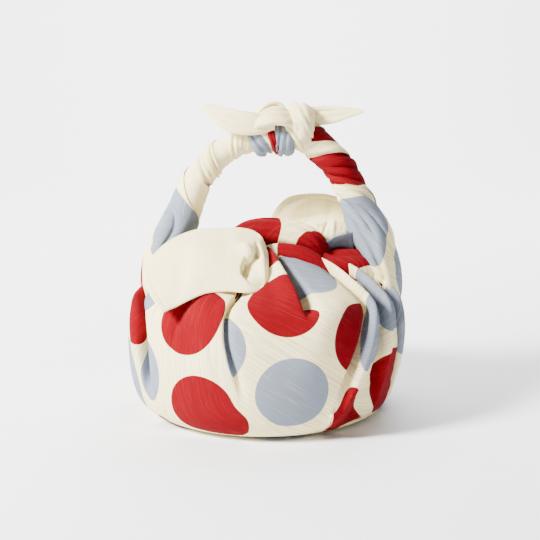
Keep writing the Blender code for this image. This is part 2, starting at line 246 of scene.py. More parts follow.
# soft rises (+) and hollows (-): half-width in degrees, height, path as (share, azimuth, strength)
swells = (
    (4.6, 0.0042, ((0.14, 25, 0), (0.2, 27, 0.8), (0.27, 32, 1), (0.32, 37, 1), (0.38, 42, 0.8),
                   (0.46, 47, 0.3), (0.55, 50, 0))),
    (5.5, -0.0058, ((0.1, 41, 0), (0.18, 42, 0.8), (0.25, 45, 1), (0.32, 47, 0.7), (0.4, 49, 0))),
    (9.0, 0.0030, ((0.34, 16, 0), (0.45, 20, 0.5), (0.52, 24, 1), (0.6, 29, 1), (0.68, 34, 0.3),
                   (0.78, 36, 0))),
    (9.0, -0.0060, ((0.64, -14, 0), (0.73, -16, 1), (0.86, -18, 1), (0.95, -18, 0))),
    (7.0, 0.0016, ((0.3, -25, 0), (0.46, -25, 1), (0.64, -30, 1), (0.8, -32, 0))),
    (8.0, -0.0015, ((0.3, -34, 0), (0.46, -33, 1), (0.64, -40, 1), (0.8, -42, 0))),
    (12.0, -0.0016, ((0.3, 2, 0), (0.44, 3, 1), (0.56, 5, 0.6), (0.7, 6, 0))),
    (4.0, 0.0034, ((0.28, -63, 0), (0.4, -63, 1), (0.45, -66, 1), (0.52, -73, 1),
                   (0.62, -80, 0.5), (0.8, -84, 0))),
    (6.0, 0.0020, ((0.25, 61, 0), (0.4, 61, 1), (0.6, 67, 1), (0.8, 69, 0))),
)
# fine wrinkles: waves round the ring, drift of their phase with height, size, and first share
wrinkles = ((23, 9, 0.00022, 0.3), (41, -14, 0.00014, 0.2), (13, 6, 0.0003, 0.4))


def outlineShares(count):
    # rings lie closer together on the shoulder, where the folds turn
    even = np.linspace(0, 1, count)
    return even - body["crowding"] * np.sin(2 * math.pi * even)


shares = outlineShares(body["rings"])
outline = curveAt(body["outline"], shares * (len(body["outline"]) - 1))


def pathRead(path):
    # azimuth and strength of a fold on every ring, as running means that round its corners off
    path = np.array(path, float)
    values = [np.interp(shares, path[:, 0], path[:, k]) for k in (1, 2)]
    span = body["pathSpan"]
    kernel = np.hanning(span) / np.hanning(span).sum()
    return [np.convolve(np.pad(v, span // 2, mode="edge"), kernel, mode="valid") for v in values]


def bodyColumns():
    # azimuth and sunk depth of every column on every ring: columns run along the folds, and
    # across a lap they go forward, back under and forward again, which lays cloth on cloth
    azimuths, sunk, starts = [], [], []
    read = [pathRead(path) for shape, wide, depth, path in folds]
    for k, (shape, wide, depth, path) in enumerate(folds):
        middle, strength = read[k]
        table = np.array(foldShapes[shape])
        across = np.interp(foldPlaces, table[:, 0], table[:, 1])
        down = np.interp(foldPlaces, table[:, 0], table[:, 2])
        grow = strength[:, None]
        starts.append(sum(part.shape[1] for part in azimuths))
        azimuths.append(middle[:, None] + wide * (foldPlaces * (1 - grow) + across * grow))
        sunk.append(depth * down * grow)
        following = (k + 1) % len(folds)
        after, wideAfter = read[following][0], folds[following][1]
        begin = middle + wide
        gap = after + (360 if following == 0 else 0) - wideAfter - begin
        steps = max(2, round(float(gap.mean()) / body["spacing"]))
        inner = np.arange(1, steps) / steps
        azimuths.append(begin[:, None] + gap[:, None] * inner)
        sunk.append(np.zeros((len(shares), steps - 1)))
    return np.hstack(azimuths), np.hstack(sunk), starts, [strength for middle, strength in read]


# the stretch across a fold, by its place, where the cloth crosses from one side to the other
# out of sight
hidden = {"lap": (0.03, 0.38), "tuck": (-0.45, -0.06), "groove": (-0.2, 0.2)}


def stripCloth(points, far, angle, starts, strengths, splits):
    # each stretch of cloth between two folds lies flat in the print: distance up the wall along
    # the stretch's own middle, distance round the ring across it; the rest is inside the folds
    count = points.shape[1]
    step = np.linalg.norm(points - np.roll(points, 1, axis=1), axis=2)
    total = step.sum(axis=1, keepdims=True)
    step[:, 0] = 0
    arc = np.cumsum(step, axis=1)
    size = len(foldPlaces)
    cloth = np.zeros(points.shape[:2] + (2,))
    crossed = {}
    for k in splits:
        onWall, onFloor = strengths[k], len(points) - len(strengths[k])
        strength = np.concatenate([np.full(onFloor, onWall[0]), onWall])[:, None]
        low, high = hidden[folds[k][0]]
        low, high = (low + 1) * strength - 1, (high - 1) * strength + 1
        crossed[k] = ease((foldPlaces - low) / (high - low))
    for i, k in enumerate(splits):
        after = splits[(i + 1) % len(splits)]
        begin, end = starts[k] + size // 2, starts[after] + size // 2
        span = (end - begin) % count
        middle = (begin + span // 2) % count
        share = ((np.arange(count) - begin) % count < span)[None, :] * np.ones((len(points), 1))
        share[:, starts[k]:starts[k] + size] = crossed[k]
        share[:, starts[after]:starts[after] + size] = 1 - crossed[after]
        away = (arc - arc[:, [middle]] + total / 2) % total - total / 2
        ahead = np.array([math.sin(angle[middle]), -math.cos(angle[middle])])
        across = np.array([math.cos(angle[middle]), math.sin(angle[middle])])
        cloth = cloth + share[..., None] * (far[:, None, None] * ahead + away[..., None] * across)
    return cloth


def makeBody():
    # radius and height follow the outline; the sunk depth goes in along the outline's normal
    azimuths, sunk, starts, strengths = bodyColumns()
    radius, height = outline.T
    along = unit(np.gradient(outline, axis=0))
    outwards, upwards = along[:, 1], -along[:, 0]
    share = shares[:, None]
    for wide, rise, path in swells:
        middle, strength = pathRead(path)
        away = (azimuths - middle[:, None] + 180) % 360 - 180
        sunk = sunk - rise * strength[:, None] * bell(away / wide)
    turn = np.radians(azimuths)
    # a wrinkle's phase drifts with height, and it comes and goes in three patches round the ring
    for waves, drift, size, low in wrinkles:
        phase = chance.uniform(0, 6.28)
        patch = 0.5 + 0.5 * np.sin(3 * turn + 5 * share + phase)
        wave = np.sin(waves * turn + drift * share + phase)
        sunk = sunk + size * patch * ease((share - low) / body["wrinkleFade"]) * wave
    sunk = sunk * np.clip(radius / body["gatherReach"], 0, 1)[:, None]
    sunk = sunk * ease(share / body["baseFade"])
    low = 1 - ease(height / body["height"])
    lean = 1 - body["lean"] * np.sin(turn) * low[:, None]
    reach = radius[:, None] * lean - sunk * outwards[:, None]
    shift = ease(2 * share - 1)
    x = reach * np.sin(turn) + body["gather"][0] * shift
    y = -reach * np.cos(turn) + body["gather"][1] * shift
    z = np.maximum(height[:, None] - sunk * upwards[:, None], 0.0)
    wall = np.stack([x, y, z], axis=2)
    spokes = np.linspace(body["hub"], 1, body["floorRings"], endpoint=False)[:, None, None]
    points = np.concatenate([wall[:1] * spokes, wall])
    # cloth place: distance along the spokes and the wall, and the angle swallowed so far
    lines = points[:, ::body["measured"]]
    steps = np.linalg.norm(np.diff(lines, axis=0), axis=2).mean(axis=1)
    far = body["hubFar"] + np.concatenate([[0], np.cumsum(steps)])
    ring = points[body["floorRings"] + len(shares) // 2]
    arc = lengthAlong(ring)
    full = arc[-1] + np.linalg.norm(ring[0] - ring[-1])
    angle = 2 * math.pi * arc / full
    front = np.interp(0, azimuths[len(shares) // 2], angle)
    angle = angle - front
    deep = [k for k, fold in enumerate(folds) if fold[2] > body["splitDepth"] and k != body["roofFold"]]
    cloth = stripCloth(points, far, angle, starts, strengths, deep)
    # below the folds the print is plain: distance from the middle, and the angle
    plain = np.stack([far[:, None] * np.sin(angle), -far[:, None] * np.cos(angle)], axis=2)
    onWall = ease((shares - body["plainTo"]) / body["plainBlend"])
    share = np.concatenate([np.zeros(body["floorRings"]), onWall])[:, None, None]
    cloth = plain * (1 - share) + cloth * share
    print("body:", points.shape, "cloth reach", round(float(far[-1]), 3), "ring", round(float(full), 3))
    addSheet(points, cloth, wraps=True)


makeBody()

# The two rolled corners that make the handle. rows: x and z of the roll's middle, half-width
# across the arch, half-depth in its plane, the angle to which a foot wraps the body, and the
# roll's twist. Angles round the roll are in degrees. edge is where its free edge lies. creases:
# angle, depth as a share of the roll's size, first and last row, and kind. The roll is bare from
# a row on, and past an angle; 30 and 400 are never reached. lays is a place on the roll and the
# column and row of the dot that lies there.
leftLeg = {
    "rows": (
        (-0.0640, 0.046, 0.0200, 0.0026, 20, 0), (-0.0655, 0.064, 0.0225, 0.0050, 20, 0),
        (-0.0625, 0.078, 0.0240, 0.0074, 18, 0), (-0.0555, 0.091, 0.0200, 0.0092, 8, 0),
        (-0.0485, 0.103, 0.0135, 0.0100, 0.01, 0), (-0.0437, 0.115, 0.0108, 0.0093, 0.01, 85),
        (-0.0380, 0.127, 0.0090, 0.0082, 0.01, 190), (-0.0285, 0.1375, 0.0082, 0.0076, 0.01, 455),
        (-0.0186, 0.144, 0.0078, 0.0072, 0.01, 715), (-0.0060, 0.148, 0.0078, 0.0070, 0.01, 1010),
        (0.0040, 0.150, 0.0070, 0.0066, 0.01, 1060),
    ),
    "corner": -1,
    "bareFrom": 5.9,
    "bareTurn": 235,
    "lays": ((-0.209, -0.012), (1, 2)),
    "edge": -90,
    "creases": (
        (-32, 0.26, 5.8, 7.8, "step"), (22, 0.20, 7.0, 8.7, "dip"), (190, 0.24, 7.7, 9.6, "step"),
        (-62, 0.16, 6.0, 7.8, "dip"), (15, 0.20, 1.2, 4.6, "dip"), (52, 0.22, 0.8, 4.6, "step"),
        (120, 0.20, 1.0, 4.8, "dip"), (165, 0.22, 1.0, 5.4, "step"), (100, 0.18, 5.0, 7.6, "dip"),
        (-120, 0.20, 8.2, 9.8, "dip"),
    ),
}
rightLeg = {
    "rows": (
        (0.0640, 0.046, 0.0200, 0.0022, 19, 445), (0.0670, 0.063, 0.0235, 0.0050, 20, 445),
        (0.0645, 0.077, 0.0270, 0.0078, 21, 445), (0.0585, 0.088, 0.0250, 0.0100, 14, 442),
        (0.0530, 0.0985, 0.0165, 0.0110, 4, 432), (0.0485, 0.109, 0.0122, 0.0098, 0.01, 410),
        (0.0430, 0.1205, 0.0102, 0.0086, 0.01, 345), (0.0372, 0.1315, 0.0094, 0.0084, 0.01, 228),
        (0.0290, 0.1415, 0.0092, 0.0086, 0.01, 108), (0.0190, 0.148, 0.0088, 0.0084, 0.01, 0),
        (0.0100, 0.150, 0.0080, 0.0076, 0.01, -60),
    ),
    "corner": 1,
    "bareFrom": 30,
    "bareTurn": 400,
    "lays": ((0.209, -0.0195), (1, 2)),
    "edge": 52,
    "creases": (
        (-150, 0.28, 5.8, 9.6, "step"), (15, 0.26, 2.6, 6.8, "step"), (-60, 0.20, 3.6, 7.5, "dip"),
        (-30, 0.16, 2.0, 5.6, "dip"), (-95, 0.20, 1.0, 5.2, "dip"), (150, 0.20, 2.0, 7.5, "step"),
        (-128, 0.18, 6.5, 9.4, "dip"), (90, 0.20, 4.6, 9.2, "dip"),
    ),
}
leg = {
    "rings": 96,
    "turns": 5.2,
    "lap": 0.07,  # how far the first turn draws in, as a share, and over how many degrees
    "lapOver": 340,
    "thinning": 0.125,  # how far each further turn draws in, and from which turn on
    "thinningFrom": 1.05,
    "leastWrap": 0.01,
    "startFar": 0.150,  # cloth distance at the foot
    "printMiddle": 150,  # the angle, from the free edge, that lies on the middle of the print
    "bareRows": 0.25,  # rows and degrees over which the print ends
    "bareDegrees": 3,
    "step": 7.5,  # degrees between columns on the outer turn
    "innerColumns": 12,  # columns for each inner turn
    "bunch": (-3.6, -1.6, -0.5, 0.5, 1.6, 3.6),  # extra columns beside a crease, in degrees
    "swelling": 0.03,
    "swellings": 2.3,
}
# a crease in a roll: shares are of its depth, widths and places in degrees, and fade in rows
crease = {
    "fade": 0.7,
    "bulge": 0.28,
    "bulgeAt": 34,
    "bulgeWide": 24,
    "lip": 0.30,
    "lipWide": 20,
    "stepWide": 24,
    "dipWide": 9,
}


def legColumns(part):
    # angles round the roll, in degrees before its twist, from the free edge inwards; they
    # bunch up at each crease, and the last ones wind on under the first turn as a spiral
    marks = np.arange(0, 360, leg["step"])
    for at, *rest in part["creases"]:
        spot = (at - part["edge"]) % 360
        marks = np.concatenate([marks, spot + np.array(leg["bunch"])])
    marks = np.unique(np.round(np.append(marks[(marks >= 0) & (marks < 359)], 359.5), 2))
    inner = np.linspace(360, 360 * leg["turns"], int(leg["innerColumns"] * (leg["turns"] - 1)))
    return np.concatenate([marks, inner])


def makeLeg(part):
    # point = middle + outer * out, with y across; the section is an ellipse whose size falls
    # with every turn, wrapped round the body by bow = width / wrap at the foot. A step falls off
    # at one side of its lip, and a dip falls in from both sides.
    rows = np.array(part["rows"], float)
    places = np.linspace(0, len(rows) - 1, leg["rings"])
    read = curveAt(rows, places)
    middle = np.stack([read[:, 0], np.zeros(len(read)), read[:, 1]], axis=1)
    width, depth = read[:, 2, None], read[:, 3, None]
    wrap = np.radians(np.maximum(read[:, 4, None], leg["leastWrap"]))
    twist = np.radians(read[:, 5, None])
    forward = unit(np.gradient(middle, axis=0)) * -part["corner"]
    outer = np.cross(forward, [0.0, 1.0, 0.0])
    marks = legColumns(part)
    around = np.radians(part["edge"] + marks)
    size = 1 - leg["lap"] * ease(marks / leg["lapOver"])
    size = size - leg["thinning"] * np.maximum(marks / 360 - leg["thinningFrom"], 0)
    size = np.ones_like(places)[:, None] * size
    for at, deep, start, end, kind in part["creases"]:
        span = ease((places - start) / crease["fade"]) * ease((end - places) / crease["fade"])
        away = (marks - (at - part["edge"]) % 360 + 180) % 360 - 180
        sides = (away - crease["bulgeAt"], away + crease["bulgeAt"])
        bulge = crease["bulge"] * sum(bell(side / crease["bulgeWide"]) for side in sides)
        if kind == "step":
            lip = crease["lip"] * bell(away / crease["lipWide"])
            mark = np.where(away < 0, lip, -np.exp(-away / crease["stepWide"])) + bulge
        else:
            mark = bulge - np.exp(-np.abs(away) / crease["dipWide"])
        size = size + deep * span[:, None] * mark
    # slow swelling along the roll, so that no two turns are alike
    size = size + leg["swelling"] * np.sin(leg["swellings"] * places[:, None] + around)
    angle = around + twist
    across = -width * np.cos(angle) * size
    lift = depth * np.sin(angle) * size
    bow = width / wrap
    turned = across / bow
    y = (bow + lift) * np.sin(turned)
    out = (bow + lift) * np.cos(turned) - bow
    points = middle[:, None] + outer[:, None] * out[..., None]
    points[..., 1] += y
    far = leg["startFar"] + lengthAlong(middle)
    # cloth place: distance along the roll, and the angle times the roll's mean radius
    fromMiddle = np.radians(leg["printMiddle"] - marks % 360)
    arc = fromMiddle * 0.5 * (width + depth) * part["corner"]
    cloth = np.stack([part["corner"] * far[:, None] * np.ones_like(arc), arc], axis=2)
    bare = ease((places - part["bareFrom"]) / leg["bareRows"])[:, None] * np.ones_like(arc)
    bare = np.maximum(bare, ease((marks % 360 - part["bareTurn"]) / leg["bareDegrees"]))
    at, dot = part["lays"]
    addSheet(points, cloth + np.array(dotAt(*dot)) - np.array(at), bare=bare)


makeLeg(leftLeg)
makeLeg(rightLeg)
print("handle rolled")


def sectionAngles(faceColumns, backColumns):
    # angles round a flattened closed section, closer together on its outer face
    outer = np.linspace(0, math.pi, faceColumns)
    inner = np.linspace(math.pi, 2 * math.pi, backColumns)[1:-1]
    return np.concatenate([outer, inner])


def squared(wave, power):
    # a wave that stays longer near its ends, which makes a round section flatter
    return np.sign(wave) * np.abs(wave) ** power


def creaseAt(gap, wide, slope):
    # a crease's depth across it: a bell, with a gentler one three times as wide on its right
    return bell(gap / wide) + slope * np.where(gap > 0, bell(gap / (3 * wide)), 0)


# Bands are the tails, folds and pleats of the two knots. rows: x, y, z of the middle,
# half-width, half-thickness. creases: place across (-1 to 1), depth and half-width as shares of
# the band's half-width, start and end as shares of its length. drift is how far a crease moves
# across on its way. inside is a point that the outer face turns away from.
band = {
    "ringsPerRow": 7,
    "faceColumns": 30,
    "backColumns": 12,
    "flatness": 0.8,
    "thinnest": 0.0002,
    "fade": 0.12,  # a crease's start and end fade over this share of the length
    "slope": 0.35,
    "steep": 3,  # how soon a crease ends at the sides of the outer face
    "heading": 45,
}


def makeBand(part):
    # point = path + side * across + face * lift, round a flattened closed section, with the
    # creases cut into its outer face
    rows = np.array(part["rows"], float)
    places = np.linspace(0, len(rows) - 1, band["ringsPerRow"] * len(rows))
    read = curveAt(rows, places)
    path = read[:, :3]
    width, thick = (np.maximum(read[:, k, None], band["thinnest"]) for k in (3, 4))
    forward = unit(np.gradient(path, axis=0))
    face = path - np.array(part["inside"])
    face = unit(face - forward * np.sum(face * forward, axis=1, keepdims=True))
    side = np.cross(forward, face)
    around = sectionAngles(band["faceColumns"], band["backColumns"])
    across = squared(np.cos(around), band["flatness"])
    lift = thick * squared(np.sin(around), band["flatness"])
    top = np.clip(np.sin(around) * band["steep"], 0, 1)
    span = np.linspace(0, 1, len(places))[:, None]
    for at, deep, wide, start, end in part["creases"]:
        shown = ease((span - start) / band["fade"]) * ease((end - span) / band["fade"])
        gap = across - at - part.get("drift", 0.0) * (span - 0.5)
        lift = lift - deep * width * shown * creaseAt(gap, wide, band["slope"]) * top
    edge = width * across
    points = path[:, None] + side[:, None] * edge[..., None] + face[:, None] * lift[..., None]
    far = lengthAlong(path)[:, None] * np.ones_like(edge)
    cloth = laidAt(homeOf(part), part.get("heading", band["heading"]), far, edge)
    addSheet(points, cloth, bare=part.get("bare", 1.0), wraps=True)


# Single thicknesses of cloth: two free corners, and the wall and pleat of the pocket. Their
# points are given as they are seen from the front: across and down in steps of the picture's
# 540, and y in mm. step is what one of these measures on the flat cloth. The camera stands
# where this sight starts.
sight = {
    "target": 0.0756,
    "away": 0.70,
    "tilt": math.radians(12),
    "focal": 1283,
    "middle": 270,
    "step": 0.00054,
}
# the thickness of a single layer; its hem is thicker, with a dip where it is sewn down
layer = {
    "thick": 0.0005,
    "hemExtra": 0.0005,
    "hemWide": 0.0026,
    "hemSlope": 0.0006,
    "dipDeep": 0.00024,
    "dipAt": 0.0034,
    "dipWide": 0.0005,
    "edgeWide": 0.0004,
    "edgeShare": 0.15,
    "home": (0.30, 0.0),
}


def fromSight(seen):
    # height above the target from the slope k of the line of sight: q (c + k s) = k (D + y c) - y s
    seen = np.asarray(seen, float)
    c, s = math.cos(sight["tilt"]), math.sin(sight["tilt"])
    y = seen[..., 2] / 1000
    k = (sight["middle"] - seen[..., 1]) / sight["focal"]
    q = (k * (sight["away"] + y * c) - y * s) / (c + k * s)
    depth = sight["away"] + y * c - q * s
    x = (seen[..., 0] - sight["middle"]) / sight["focal"] * depth
    return np.stack([x, y, q + sight["target"]], axis=-1)


def normalsOf(front):
    # unit normals of a grid of points, on the side that the middle one turns to the front
    normal = unit(np.cross(np.gradient(front, axis=0), np.gradient(front, axis=1)))
    rows, columns = front.shape[:2]
    return normal * np.sign(-normal[rows // 2, columns // 2, 1])


def hollowIn(hollow, px, py):
    # steep at its left and upper edges, rising evenly to the ridge at its right, and fading
    # out at its lower end
    left, ridge = (np.interp(py, *np.array(hollow[key]).T[::-1]) for key in ("left", "ridge"))
    upper = np.interp(px, *np.array(hollow["upper"]).T)
    inside = ease((px - left) / hollow["edge"])
    inside = inside * (1 - np.clip((px - left) / (ridge - left), 0, 1)) ** hollow["rise"]
    below = ease((py - hollow["fadeAt"]) / hollow["fadeOver"])
    return inside * ease((py - upper) / hollow["edge"]) * (1 - below)


def makeSkin(part):
    # a smooth surface through the seen points, then dents along its normal, then a back face
    # one thickness behind it; the hem is a little thicker than the rest
    seen = np.array(part["seen"], float)
    rows, columns = part["grid"]
    down = curveAt(seen.reshape(len(seen), -1), np.linspace(0, len(seen) - 1, rows))
    down = down.reshape(rows, -1, 3).transpose(1, 0, 2)
    full = curveAt(down.reshape(len(down), -1), np.linspace(0, len(down) - 1, columns))
    full = full.reshape(columns, rows, 3).transpose(1, 0, 2)
    front = fromSight(full)
    px, py = full[..., 0], full[..., 1]
    push = np.zeros(px.shape)
    for dentX, dentY, wide, tall, lean, deep in part.get("dents", ()):
        a = math.radians(lean)
        dx, dy = px - dentX, py - dentY
        u, v = dx * math.cos(a) + dy * math.sin(a), dy * math.cos(a) - dx * math.sin(a)
        push = push - deep / 1000 * bell(u / wide) * bell(v / tall)
    if "hollow" in part:
        push = push - part["hollow"]["deep"] / 1000 * hollowIn(part["hollow"], px, py)
    front = front + normalsOf(front) * push[..., None]
    normal = normalsOf(front)
    across, along = lengthAlong(front, 1), lengthAlong(front, 0)
    rim = np.minimum(np.minimum(across, across[:, -1:] - across), along[-1:] - along)
    hem = layer["hemExtra"] * (1 - ease((rim - layer["hemWide"]) / layer["hemSlope"]))
    dip = layer["dipDeep"] * bell((rim - layer["dipAt"]) / layer["dipWide"])
    closing = np.clip(rim / layer["edgeWide"], layer["edgeShare"], 1)
    thick = (layer["thick"] + hem - dip) * closing
    front = front + normal * (0.5 * thick)[..., None]
    back = front - normal * thick[..., None]
    ring = np.concatenate([front, back[:, ::-1]], axis=1)
    ends = 0.5 * (front[-1:] + back[-1:])
    ring = np.concatenate([ring, np.concatenate([ends, ends[:, ::-1]], axis=1)])
    # cloth place as the skin is seen flat from the front
    right, up = (px - sight["middle"]) * sight["step"], (sight["middle"] - py) * sight["step"]
    spots = laidAt(homeOf(part, layer["home"]), part["heading"], right, up)
    spots = np.concatenate([spots, spots[:, ::-1]], axis=1)
    spots = np.concatenate([spots, spots[-1:]])
    addSheet(ring, spots, bare=part.get("bare", 1.0), wraps=True)


# dents: place, half-width, half-height, lean in degrees and depth in mm; a rise is below 0
frontTail = {
    "grid": (104, 58), "heading": 117, "home": (0.2, 0.2),
    "seen": (
        ((258, 246, -18), (262, 254, -24), (263, 264, -30), (263, 276, -38), (260, 286, -44)),
        ((263.5, 244, -24), (267.5, 253, -31), (268.3, 264, -38), (267.2, 279, -47), (262.5, 288.5, -52)),
        ((261, 240, -26), (263.5, 250.5, -35), (263.8, 264, -43), (262.5, 279, -50), (257, 292.4, -54)),
        ((255.5, 231.8, -22), (254.5, 247, -36), (253, 262, -45), (252, 277, -52), (249, 293.2, -55)),
        ((245, 228.4, -20), (244, 245, -35), (243, 261, -45), (242, 277, -52), (239, 292.6, -55)),
        ((229, 227.9, -19), (229, 244, -34), (228.5, 260, -44), (228, 276, -51), (225, 291.6, -54)),
        ((210, 227.9, -18), (210, 244, -33), (210, 260, -43), (209, 276, -50), (206, 293.6, -54)),
        ((190, 231.0, -18), (190, 247, -32), (190, 263, -42), (190, 281, -50), (189, 300.5, -55)),
        ((170, 240, -20), (168.5, 255, -32), (168.5, 271, -41), (171, 288, -49), (177, 306.5, -56)),
        ((155.5, 252.5, -25), (153.5, 266, -35), (155, 281, -43), (160, 295, -50), (169, 310, -58)),
        ((143, 268, -32), (143.8, 277.5, -38), (146.5, 287.5, -44), (152.5, 299, -51), (162.5, 313.2, -60)),
    ),
    "hollow": {
        "deep": 8.0,
        "left": ((246, 250), (244, 259), (240.3, 267), (240.5, 273), (243.5, 278), (250, 284), (256, 288)),
        "ridge": ((257, 247), (260.5, 262), (264, 276), (265, 284), (265, 290)),
        "upper": ((240, 257), (247.5, 258), (252.5, 256), (256, 249), (258, 245), (262, 244)),
        "edge": 1.6,
        "rise": 0.7,
        "fadeAt": 264,
        "fadeOver": 24,
    },
    "dents": (
        (247.0, 250.5, 7.0, 5.5, 20, -3.0), (258.5, 252.0, 1.4, 5.5, -15, 9.0),
        (262.5, 266, 3.0, 15.0, -8, -1.6), (236.0, 243, 9.0, 14.0, -10, -0.9),
        (261.0, 238.0, 3.0, 5.0, -30, -1.2), (200.0, 252, 26.0, 10.0, -5, -1.4),
        (182.0, 270, 8.0, 24.0, 8, 1.0), (214.0, 282, 24.0, 7.0, -4, 0.9),
    ),
}
backTail = {
    "grid": (64, 36), "heading": -30,
    "seen": (
        ((270, 222, 8), (274, 226, 6), (279, 230, 4), (284, 234, 2)),
        ((273, 213, 12), (279, 218, 10), (285, 224, 7), (290, 231, 4)),
        ((281, 202.5, 17), (287, 209, 15), (293, 218, 11), (298, 228, 7)),
        ((291, 196.0, 21), (297, 204, 19), (302, 214, 15), (306, 226, 9)),
        ((306, 193.6, 24), (310, 202, 22), (314, 213, 18), (317, 225, 11)),
        ((322, 193.4, 26), (325, 202, 24), (327, 212, 20), (329, 224, 13)),
        ((336, 196.0, 27), (338, 204, 25), (340, 213, 21), (341, 224, 15)),
        ((350, 201.5, 27), (352, 208, 25), (353, 216, 22), (354, 225, 17)),
        ((365, 207.5, 25), (366, 213, 24), (367, 219, 22), (368, 227, 19)),
        ((378, 212.5, 22), (379, 217, 21), (380, 222, 21), (381, 229, 20)),
        ((387, 218, 20), (388, 221, 20), (388, 225, 20), (386, 230, 20)),
    ),
    "dents": (
        (300, 205, 12.0, 4.0, -30, -1.4), (312, 215, 20.0, 3.0, -12, 1.2),
        (330, 208, 4.0, 12.0, 10, 1.0),
    ),
}
pocketWall = {
    "grid": (36, 26), "heading": 0, "bare": 0.0, "dot": (1, 1, -0.034, -0.0119),
    "seen": (
        ((312, 251.5, -15), (315, 254, -12), (319, 257, -10), (323, 262, -12)),
        ((318, 247.0, -15), (321, 250, -10), (325, 255, -7), (328, 262, -9)),
        ((326, 241.5, -14), (329, 246, -8), (331, 253, -5), (333, 262, -7)),
        ((337, 236.0, -13), (338, 242, -7), (339, 251, -4), (339, 262, -6)),
        ((347, 233.0, -12), (347, 240, -7), (346, 250, -5), (345, 261, -7)),
        ((354, 232.0, -10), (354, 239, -7), (353, 249, -6), (351, 260, -8)),
    ),
}
pocketPleat = {
    "grid": (34, 24), "heading": 10,
    "seen": (
        ((317, 224, -6), (318, 229, -8), (320, 234, -10), (323, 240, -11)),
        ((322, 221.0, -3), (323, 227, -7), (324, 233, -10), (326, 241, -11)),
        ((331, 219.5, -1), (331, 226, -6), (331, 232, -9), (332, 239, -10)),
        ((341, 221.0, 0), (340, 227, -5), (339, 232, -8), (339, 237, -9)),
        ((349, 224.0, 1), (348, 229, -3), (347, 233, -6), (347, 237, -7)),
    ),
    "dents": ((325, 228, 1.4, 8.0, 20, 1.6), (333, 228, 2.0, 9.0, 5, -1.0)),
}

topKnot = (0.008, 0.000, 0.150)
lowKnot = (0.004, 0.020, 0.060)
leftTail = {
    "inside": (-0.010, 0.300, 0.120), "drift": 0.5,
    "creases": ((0.35, 0.18, 0.10, 0.0, 0.6), (-0.3, 0.12, 0.09, 0.05, 0.75)),
    "rows": (
        (0.0020, -0.0080, 0.1560, 0.0035, 0.0018), (-0.0045, -0.0100, 0.1560, 0.0052, 0.0024),
        (-0.0105, -0.0110, 0.1564, 0.0062, 0.0022), (-0.0168, -0.0110, 0.1572, 0.0064, 0.0018),
        (-0.0231, -0.0100, 0.1590, 0.0058, 0.0013), (-0.0284, -0.0080, 0.1617, 0.0044, 0.0010),
        (-0.0327, -0.0060, 0.1644, 0.0026, 0.0008), (-0.0350, -0.0050, 0.1660, 0.0010, 0.0006),
    ),
}
rightTail = {
    "inside": (0.030, 0.300, 0.120),
    "creases": ((-0.45, 0.20, 0.11, 0.1, 0.6), (0.25, 0.12, 0.09, 0.15, 0.8)),
    "rows": (
        (0.0120, 0.0020, 0.1597, 0.0045, 0.0018), (0.0224, 0.0030, 0.1591, 0.0052, 0.0022),
        (0.0278, 0.0030, 0.1594, 0.0052, 0.0018), (0.0341, 0.0020, 0.1600, 0.0046, 0.0013),
        (0.0399, 0.0010, 0.1609, 0.0034, 0.0010), (0.0452, 0.0000, 0.1615, 0.0020, 0.0008),
        (0.0496, -0.0010, 0.1621, 0.0009, 0.0006),
    ),
}
crossing = {
    "inside": topKnot,
    "creases": ((0.2, 0.18, 0.11, 0.05, 0.95), (-0.4, 0.15, 0.10, 0.1, 0.9)),
    "rows": (
        (-0.0130, -0.0085, 0.1540, 0.0010, 0.0008), (-0.0080, -0.0108, 0.1562, 0.0030, 0.0016),
        (-0.0035, -0.0114, 0.1587, 0.0048, 0.0022), (0.0015, -0.0108, 0.1604, 0.0060, 0.0024),
        (0.0070, -0.0095, 0.1600, 0.0062, 0.0024), (0.0125, -0.0060, 0.1575, 0.0050, 0.0020),
    ),
}
topLoop = {
    "inside": topKnot,
    "creases": ((0.0, 0.10, 0.15, 0.0, 1.0),),
    "rows": (
        (-0.0085, -0.0040, 0.1575, 0.0030, 0.0016), (-0.0058, -0.0030, 0.1620, 0.0034, 0.0016),
        (-0.0010, 0.0000, 0.1650, 0.0040, 0.0016), (0.0040, 0.0020, 0.1650, 0.0045, 0.0016),
        (0.0090, 0.0020, 0.1620, 0.0045, 0.0016),
    ),
}
lowCrossing = {
    "inside": lowKnot, "bare": 0.0, "dot": (0, 2, 0.0, -0.010), "heading": 86, "drift": 1.1,
    "creases": (
        (0.2, 0.13, 0.07, 0.05, 0.95), (-0.5, 0.12, 0.07, 0.1, 0.95), (0.7, 0.10, 0.07, 0.3, 1.0),
    ),
    "rows": (
        (-0.0190, -0.0160, 0.0905, 0.0050, 0.0045), (-0.0140, -0.0150, 0.0975, 0.0068, 0.0055),
        (-0.0050, -0.0125, 0.0990, 0.0078, 0.0060), (0.0060, -0.0115, 0.0985, 0.0078, 0.0062),
        (0.0150, -0.0125, 0.0970, 0.0075, 0.0060), (0.0230, -0.0135, 0.0935, 0.0066, 0.0055),
        (0.0285, -0.0130, 0.0860, 0.0050, 0.0040),
    ),
}
frontFold = {
    "inside": lowKnot, "bare": 0.0, "dot": (0, 2, -0.0282, 0.0103), "heading": -20,
    "creases": ((0.1, 0.10, 0.10, 0.1, 0.9),),
    "rows": (
        (-0.0060, -0.0200, 0.0865, 0.0035, 0.0030), (0.0000, -0.0215, 0.0895, 0.0042, 0.0034),
        (0.0095, -0.0225, 0.0900, 0.0046, 0.0036), (0.0200, -0.0240, 0.0875, 0.0044, 0.0034),
        (0.0320, -0.0260, 0.0800, 0.0036, 0.0026),
    ),
}
